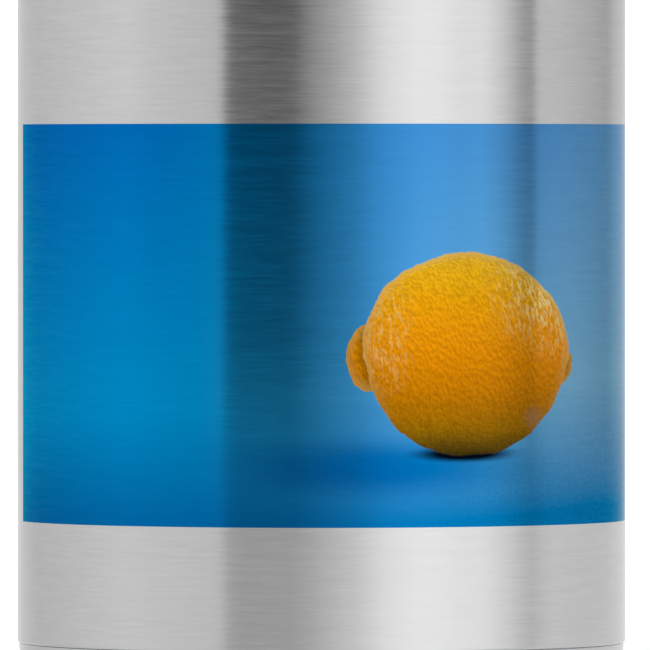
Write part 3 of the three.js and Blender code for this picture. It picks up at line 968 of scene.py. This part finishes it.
def inked_area(add, point, up):
    """1 where the wall is printed, and 0 on bare steel, with a crisp edge."""
    x, y, _ = add("SeparateXYZ", (point,)).node.outputs
    turn = add("Math ARCTAN2", (x, add("Math MULTIPLY", (y, -1.0))))
    wide = add("Math LESS_THAN", (add("Math ABSOLUTE", (turn,)), PICTURE_HALF_ANGLE))
    high = add("Math LESS_THAN", (add("Math ABSOLUTE", (up,)), PICTURE_HEIGHT_MM / 2))
    # Only the wall's outer face is printed, which is at least this far from the axis.
    least_radius = body_radius / MM - 0.3
    radius = add("VectorMath LENGTH", (add("VectorMath MULTIPLY", (point, (1, 1, 0))),))
    outside = add("Math GREATER_THAN", (radius, least_radius))
    both = add("Math MULTIPLY", (wide, high))
    return add("Math MULTIPLY", (both, outside))


def oval(add, flat, centre, radii):
    """Distance from an oval's centre, counted so that its edge is at 1."""
    shifted = add("VectorMath SUBTRACT", (flat, (*centre, 0)))
    shared = add("VectorMath DIVIDE", (shifted, (*radii, 1)))
    return add("VectorMath LENGTH", (shared,))


GROUND_HALF_WIDTH_MM = 36.0
# Each row of the ground is one ramp from left to right: its top, its middle and its bottom.
GROUND_ROWS = (
    (
        (0.0, "0082e5"), (0.25, "008be9"), (0.38, "00a3f3"), (0.5, "27a2ef"),
        (0.62, "419fed"), (0.75, "51a9f4"), (0.88, "62b1f8"), (0.97, "74c0ff"),
    ),
    (
        (0.0, "00abf7"), (0.3, "00b0f9"), (0.36, "1fb6fb"), (0.44, "27aef0"),
        (0.6, "4faef0"), (0.8, "7bcdff"), (0.92, "93d6ff"), (1.0, "8accf5"),
    ),
    ((0.0, "0071c3"), (0.35, "0081d3"), (0.6, "008bd8"), (0.86, "008fd6"), (1.0, "208bd0")),
)


def blue_ground(add, across, up, flat):
    """The picture's blue wall and blue table, lighter to the right, with the lemon's shadow on the table."""
    share = add("MapRange", (across, -GROUND_HALF_WIDTH_MM, GROUND_HALF_WIDTH_MM, 0.0, 1.0))
    top, middle, bottom = [add("ValToRGB", (share,), stops=stops) for stops in GROUND_ROWS]
    fall = add("MapRange", (up, 23.75, -7.25, 0.0, 1.0))
    wall = add("Mix RGBA", {0: fall, 6: top, 7: middle})
    # The table begins higher on the right, where its far edge is more out of focus.
    edge = add("Math MULTIPLY_ADD", (share, -5.6, up))
    depth = add("MapRange", (edge, -11.5, -27.0, 0.0, 1.0))
    plain = add("Mix RGBA", {0: depth, 6: wall, 7: bottom})
    # The table's sandy grain is in focus on the right, in front of the lemon.
    sand = add("TexNoise", {"Vector": flat, "Scale": 2.4, "Detail": 2.0, "Roughness": 0.7})
    focus = add("MapRange", (share, 0.6, 0.8, 0.0, 0.6))
    seen = add("Math MULTIPLY", (focus, depth))
    lift = add("Math SUBTRACT", (sand, 0.5))
    level = add("Math MULTIPLY_ADD", (lift, seen, 1.0))
    ground = add("VectorMath SCALE", {0: plain, 3: level})
    # The lemon's wide soft shadow on the table, and the narrow dark one where it touches.
    cast = oval(add, flat, (7.5, -16.65), (21.0, 4.2))
    shade = add("MapRange SMOOTHSTEP", (cast, 0.2, 1.1, 1.0, 0.0))
    dimmed = add("VectorMath MULTIPLY", (ground, (0.0, 0.6, 0.8)))
    shaded = add("Mix RGBA", {0: shade, 6: ground, 7: dimmed})
    under = oval(add, flat, (16.8, -15.15), (6.5, 1.05))
    dark = add("MapRange SMOOTHSTEP", (under, 0.45, 1.15, 1.0, 0.0))
    return add("Mix RGBA", {0: dark, 6: shaded, 7: "000a1c"})


LEMON_CENTRE = (17.17, -3.4)
LEMON_RADII = (11.93, 11.97)
# The way that the lemon's long axis points: to the right, and a little away from the eye.
LEMON_AXIS = (0.97, 0.1, -0.2)
# The peel's colour from the lemon's foot to its top.
PEEL = (
    (0.0, "33290c"), (0.08, "6a4e09"), (0.145, "8e6204"), (0.215, "a26903"), (0.35, "c27803"),
    (0.49, "d68504"), (0.62, "de8f08"), (0.77, "dd9a08"), (0.9, "dba514"), (1.0, "d6a52a"),
)


def lemon(add, flat):
    """The lemon's colour and its outline, drawn as a lit ball with pores pressed into its peel."""
    # A wavy outline: the point is pushed about by a slow and a fast noise before the ovals are measured.
    slow = add("TexNoise", {"Vector": flat, "Scale": 0.16, "Detail": 1.0}, out=1)
    fast = add("TexNoise", {"Vector": flat, "Scale": 0.9, "Detail": 2.0}, out=1)
    slow_push = add("VectorMath SCALE", {0: slow, 3: 1.2})
    fast_push = add("VectorMath SCALE", {0: fast, 3: 0.4})
    push = add("VectorMath ADD", (slow_push, fast_push))
    centred = add("VectorMath SUBTRACT", (push, (0.8, 0.8, 0.8)))
    level = add("VectorMath MULTIPLY", (centred, (1, 1, 0)))
    waved = add("VectorMath ADD", (flat, level))
    # The lemon is a ball with a fuller upper left, and a stalk end and a tip behind it.
    round_part = oval(add, waved, LEMON_CENTRE, LEMON_RADII)
    full_part = oval(add, waved, (16.1, -2.2), (11.15, 10.5))
    body = add("Math MINIMUM", (round_part, full_part))
    stalk_end = oval(add, waved, (5.45, -3.9), (2.45, 3.9))
    tip = oval(add, waved, (27.6, -5.1), (2.0, 2.45))
    nearest = add("Math MINIMUM", (body, stalk_end))
    outline = add("Math MINIMUM", (nearest, tip))
    inside = add("MapRange", (outline, 0.99, 1.005, 1.0, 0.0))

    # The ball: how far the peel faces the eye, and its direction, from the place within the outline.
    from_middle = add("VectorMath SUBTRACT", (waved, (*LEMON_CENTRE, 0)))
    shared = add("VectorMath DIVIDE", (from_middle, (*LEMON_RADII, 1)))
    squared = add("Math MULTIPLY", (body, body))
    rest = add("Math SUBTRACT", (1.0, squared))
    kept = add("Math MAXIMUM", (rest, 0.02))
    facing = add("Math SQRT", (kept,))
    x, y, _ = add("SeparateXYZ", (shared,)).node.outputs
    ball = add("CombineXYZ", (x, y, facing))

    # Colour by the light that falls on the ball from above.
    height_share = add("MapRange", (y, -1.0, 1.0, 0.0, 1.0))
    peel = add("ValToRGB", (height_share,), stops=PEEL)

    # Pores and folds lie in rows round the lemon's long axis, so their pattern is tighter along that axis.
    along = add("VectorMath DOT_PRODUCT", (ball, LEMON_AXIS))
    tighter = add("VectorMath SCALE", {0: LEMON_AXIS, 3: along})
    skin = add("VectorMath MULTIPLY_ADD", (tighter, (0.7, 0.7, 0.7), ball))
    folded = add("VectorMath MULTIPLY_ADD", (tighter, (3.0, 3.0, 3.0), ball))

    # The peel's level here, less its level a little towards the light, lights one side of each pore.
    pores = []
    for shift in ((0, 0, 0), (0.008, 0.014, 0)):
        spot = add("VectorMath ADD", (skin, shift))
        dimples = add("TexVoronoi SMOOTH_F1", {"Vector": spot, "Scale": 20.0})
        bumps = add("TexNoise", {"Vector": spot, "Scale": 10.0, "Detail": 4.0, "Roughness": 0.6})
        pores.append(add("Math ADD", (dimples, bumps)))
    slope = add("Math SUBTRACT", pores)
    lit = add("MapRange", (slope, -0.2, 0.2, 0.8, 1.14))
    embossed = add("VectorMath SCALE", {0: peel, 3: lit})

    # The shine: a wide patch on the upper right and a tall one on the left, broken up by the folds.
    folds = add("TexNoise", {"Vector": folded, "Scale": 8.0, "Detail": 4.0, "Roughness": 0.7})
    shine = []
    for centre, radii, power in (((0.62, 0.46), (0.62, 0.62), 1.0), ((-0.72, 0.15), (0.34, 0.62), 0.6)):
        patch = oval(add, ball, centre, radii)
        shine.append(add("MapRange SMOOTHSTEP", (patch, 0.3, 1.2, power, 0.0)))
    most = add("Math MAXIMUM", shine)
    ridges = add("MapRange", (folds, 0.48, 0.61, 0.0, 0.9))
    glints = add("Math MULTIPLY", (most, ridges))
    glossed = add("Mix RGBA", {0: glints, 6: embossed, 7: "efe29e"})
    rim = add("MapRange", (facing, 0.14, 0.42, 0.55, 0.0))
    upper = add("MapRange", (y, -0.7, 0.2, 0.0, 1.0))
    pale = add("Math MULTIPLY", (rim, upper))
    edged = add("Mix RGBA", {0: pale, 6: glossed, 7: "c8ad6a"})

    # The stalk end and the tip stand behind the body, so they are dark where they meet it.
    behind = add("MapRange", (body, 1.0, 1.01, 0.0, 1.0))
    crease = add("MapRange SMOOTHSTEP", (body, 1.0, 1.1, 0.55, 1.0))
    stalk = add("VectorMath SCALE", {0: embossed, 3: crease})
    lip = add("MapRange", (outline, 0.6, 1.0, 0.0, 0.5))
    ends = add("Mix RGBA", {0: lip, 6: stalk, 7: "c8a45a"})
    whole = add("Mix RGBA", {0: behind, 6: edged, 7: ends})

    scar = oval(add, ball, (0.66, -0.62), (0.12, 0.16))
    scarred = add("MapRange SMOOTHSTEP", (scar, 0.2, 1.1, 0.5, 0.0))
    colour = add("Mix RGBA", {0: scarred, 6: whole, 7: "94705c"})
    return colour, inside


def printed_steel():
    """The body's brushed steel with a picture in transparent blue ink, and a lemon on a white under-print.

    The eye sees the steel's bands and lines through the blue, and more faintly through the lemon.
    """
    material, add, steel, point, metal, scatter = brushed_steel("steel_304_brushed_printed")
    across, up, flat = picture_place(add, point)
    printed = inked_area(add, point, up)
    ground = blue_ground(add, across, up, flat)
    fruit, inside = lemon(add, flat)
    tinted = add("VectorMath MULTIPLY", (metal, ground))
    # The white under-print gives back more light than the room's average, so the fruit is dimmed to match.
    dimmed = add("VectorMath SCALE", {0: fruit, 3: 0.96})
    picture = add("Mix RGBA", {0: inside, 6: tinted, 7: dimmed})
    colour = add("Mix RGBA", {0: printed, 6: metal, 7: picture})
    # Bare steel mirrors white light at a grazing angle, but ink colours it there too, and most on the fruit.
    depth = add("MapRange", (inside, 0.0, 1.0, 0.2, 1.0))
    tint = add("Gamma", (picture, depth))
    grazing = add("Mix RGBA", {0: printed, 6: grey(1.0), 7: tint})
    under_print = add("Math MULTIPLY", (inside, printed))
    metallic = add("Mix FLOAT", {0: under_print, 2: scatter, 3: 0.68})
    fill(steel, {"Base Color": colour, "Specular Tint": grazing, "Metallic": metallic})
    return material


# ---------------------------------------------------------------- studio and camera

CAMERA_DISTANCE = 1.6
CAMERA_RISE = math.radians(0.7)
AIM_HEIGHT = 41.7 * MM
# How much of the frame's width the body fills, and how far the body's axis is left of the middle.
BODY_SHARE = 0.9346
AIM_ASIDE = 0.43 * MM
SENSOR_MM = 36
ROOM_LIGHT = 1.25
TENT_RADIUS = 0.15
TENT_HEIGHT = 0.6
FLOOR_RADIUS = 12
FAR_ENOUGH = 100

# What the wall mirrors from left to right: a place from -1 to 1 across it, and the tent's light there,
# first in its upper part and then in its lower part, which the bright table fills.
TENT_BANDS = [
    (-1.00, 0.74, 0.80), (-0.97, 0.64, 0.66), (-0.93, 0.64, 0.61), (-0.82, 0.73, 0.69),
    (-0.64, 0.82, 0.78), (-0.55, 0.75, 0.75), (-0.42, 0.69, 0.72), (-0.33, 0.67, 0.70),
    (-0.305, 0.16, 0.48), (-0.25, 0.14, 0.45), (-0.15, 0.12, 0.46), (-0.09, 0.13, 0.46),
    (-0.03, 0.31, 0.54), (0.05, 0.49, 0.67), (0.12, 0.67, 0.78), (0.17, 0.87, 0.92),
    (0.22, 1.02, 1.04), (0.32, 1.15, 1.14), (0.38, 1.13, 1.13), (0.45, 1.03, 1.07),
    (0.53, 1.02, 1.04), (0.60, 0.75, 0.88), (0.65, 0.46, 0.73), (0.69, 0.33, 0.61),
    (0.705, 0.69, 0.67), (0.76, 0.68, 0.76), (0.85, 0.58, 0.71), (0.935, 0.45, 0.70),
    (0.96, 0.58, 0.74), (1.00, 0.74, 0.80),
]
# How much of the lower part's light there is at a height, in metres.
TENT_BLEND = [(0.005, 1.0), (0.016, 0.95), (0.020, 0.32), (0.036, 0.18), (0.060, 0.07), (0.080, 0.0)]


def tent_turn(share):
    """The turn about Z, from -Y, of the tent's place that the wall mirrors at a share of its half width."""
    wall_turn = math.asin(share)
    return 2 * wall_turn - math.asin(share * body_radius / TENT_RADIUS) - PICTURE_TURN


def studio_object(name, work, material):
    """A finished mesh of the studio, which is no part of the bottle."""
    mesh = bpy.data.meshes.new(name)
    work.to_mesh(mesh)
    work.free()
    mesh.materials.append(material)
    thing = new_object(name, mesh)
    return thing


def ring_of_points(work, radius, height, steps=96):
    """Points round Z at one height."""
    angles = [FULL_TURN * step / steps for step in range(steps)]
    return [work.verts.new((radius * math.cos(a), radius * math.sin(a), height)) for a in angles]


def make_floor():
    """Plain pale floor, wide enough to meet the background."""
    fixed = {"Base Color": "f2f2f2", "Roughness": 0.9, "Specular IOR Level": 0.0}
    paper = surface("matt_white_paper", fixed)[0]
    work = bmesh.new()
    work.faces.new(ring_of_points(work, FLOOR_RADIUS, 0))
    floor = studio_object("floor", work, paper)
    # A hair below the base pad, so that the two faces don't fight for the same place.
    floor.location.z = -0.1 * MM
    floor.visible_glossy = False


def make_light_tent():
    """Light tent round the bottle: only its mirror image shows, in soft upright bands of light and dark.

    It reaches below the floor, which isn't mirrored itself, so that its lower part stands in for it.
    """
    cloth = bpy.data.materials.new("lit_tent_cloth")
    cloth.use_nodes = True
    cloth.cycles.emission_sampling = "NONE"
    cloth.node_tree.nodes.clear()
    add = adder(cloth.node_tree)
    x, y, height = add("SeparateXYZ", (add("TexCoord", out=3),)).node.outputs
    turn = add("Math ARCTAN2", (x, add("Math MULTIPLY", (y, -1.0))))
    share = add("MapRange", (turn, -math.pi, math.pi, 0.0, 1.0))
    # A ramp holds colours up to 1, so it keeps each light divided by the brightest one.
    brightest = max(max(band[1:]) for band in TENT_BANDS)
    ramps = []
    for column in (1, 2):
        stops = [(tent_turn(b[0]) / FULL_TURN + 0.5, grey(b[column] / brightest)) for b in TENT_BANDS]
        ramps.append(add("ValToRGB", (share,), stops=stops))
    top = TENT_BLEND[-1][0]
    level = add("Math DIVIDE", (height, top))
    blend = add("ValToRGB", (level,), stops=[(place / top, grey(part)) for place, part in TENT_BLEND])
    bands = add("Mix RGBA", {0: blend, 6: ramps[0], 7: ramps[1]})
    light = add("Emission", {"Color": bands, "Strength": brightest})
    add("OutputMaterial", (light,))
    work = bmesh.new()
    low, high = [ring_of_points(work, TENT_RADIUS, z) for z in (-TENT_HEIGHT, TENT_HEIGHT)]
    for index in range(len(low)):
        work.faces.new((low[index - 1], low[index], high[index], high[index - 1]))
    tent = studio_object("light_tent", work, cloth)
    tent.visible_camera = False
    tent.visible_diffuse = False
    tent.visible_shadow = False


def make_world():
    """Even white light from all round."""
    world = bpy.data.worlds.new("white_room")
    world.use_nodes = True
    fill(world.node_tree.nodes["Background"], {"Color": grey(1.0), "Strength": ROOM_LIGHT})
    bpy.context.scene.world = world
    bpy.context.scene.view_settings.view_transform = "Standard"


def make_camera():
    """Long lens in front of the picture, a little above the table."""
    lens = bpy.data.cameras.new("camera")
    reach = math.sqrt(CAMERA_DISTANCE**2 - body_radius**2)
    lens.sensor_width = SENSOR_MM
    lens.lens = SENSOR_MM * BODY_SHARE * reach / (2 * body_radius)
    lens.clip_end = FAR_ENOUGH
    towards = Vector((-math.sin(PICTURE_TURN), -math.cos(PICTURE_TURN), math.tan(CAMERA_RISE))).normalized()
    right = Vector((math.cos(PICTURE_TURN), -math.sin(PICTURE_TURN), 0))
    aim = Vector((0, 0, AIM_HEIGHT)) + right * AIM_ASIDE
    camera = new_object("camera", lens)
    camera.location = aim + towards * CAMERA_DISTANCE
    camera.rotation_euler = towards.to_track_quat("Z", "Y").to_euler()
    bpy.context.scene.camera = camera


# ---------------------------------------------------------------- making the object

brushed = brushed_steel("steel_304_brushed")[0]
satin_steel = turned_steel()
silicone = moulded_silicone()
plastic = moulded_polypropylene()

make_outer_shell(printed_steel())
make_inner_liner(satin_steel)
make_reflector_foil(bright_foil())
make_base_cup(brushed)
make_evacuation_seal(sealing_glass())
make_getter(satin_steel)
make_base_pad(silicone)
make_lid_gasket(silicone)
make_lid_shell(plastic)
make_lid_liner(plastic)
make_lid_foam(bead_foam())
make_plate_tape(foam_tape())
make_lid_plate(spun_steel())
make_handle_pin(1, "right", satin_steel)
make_handle_pin(-1, "left", satin_steel)
make_carry_handle(plastic)

make_floor()
make_light_tent()
make_world()
make_camera()
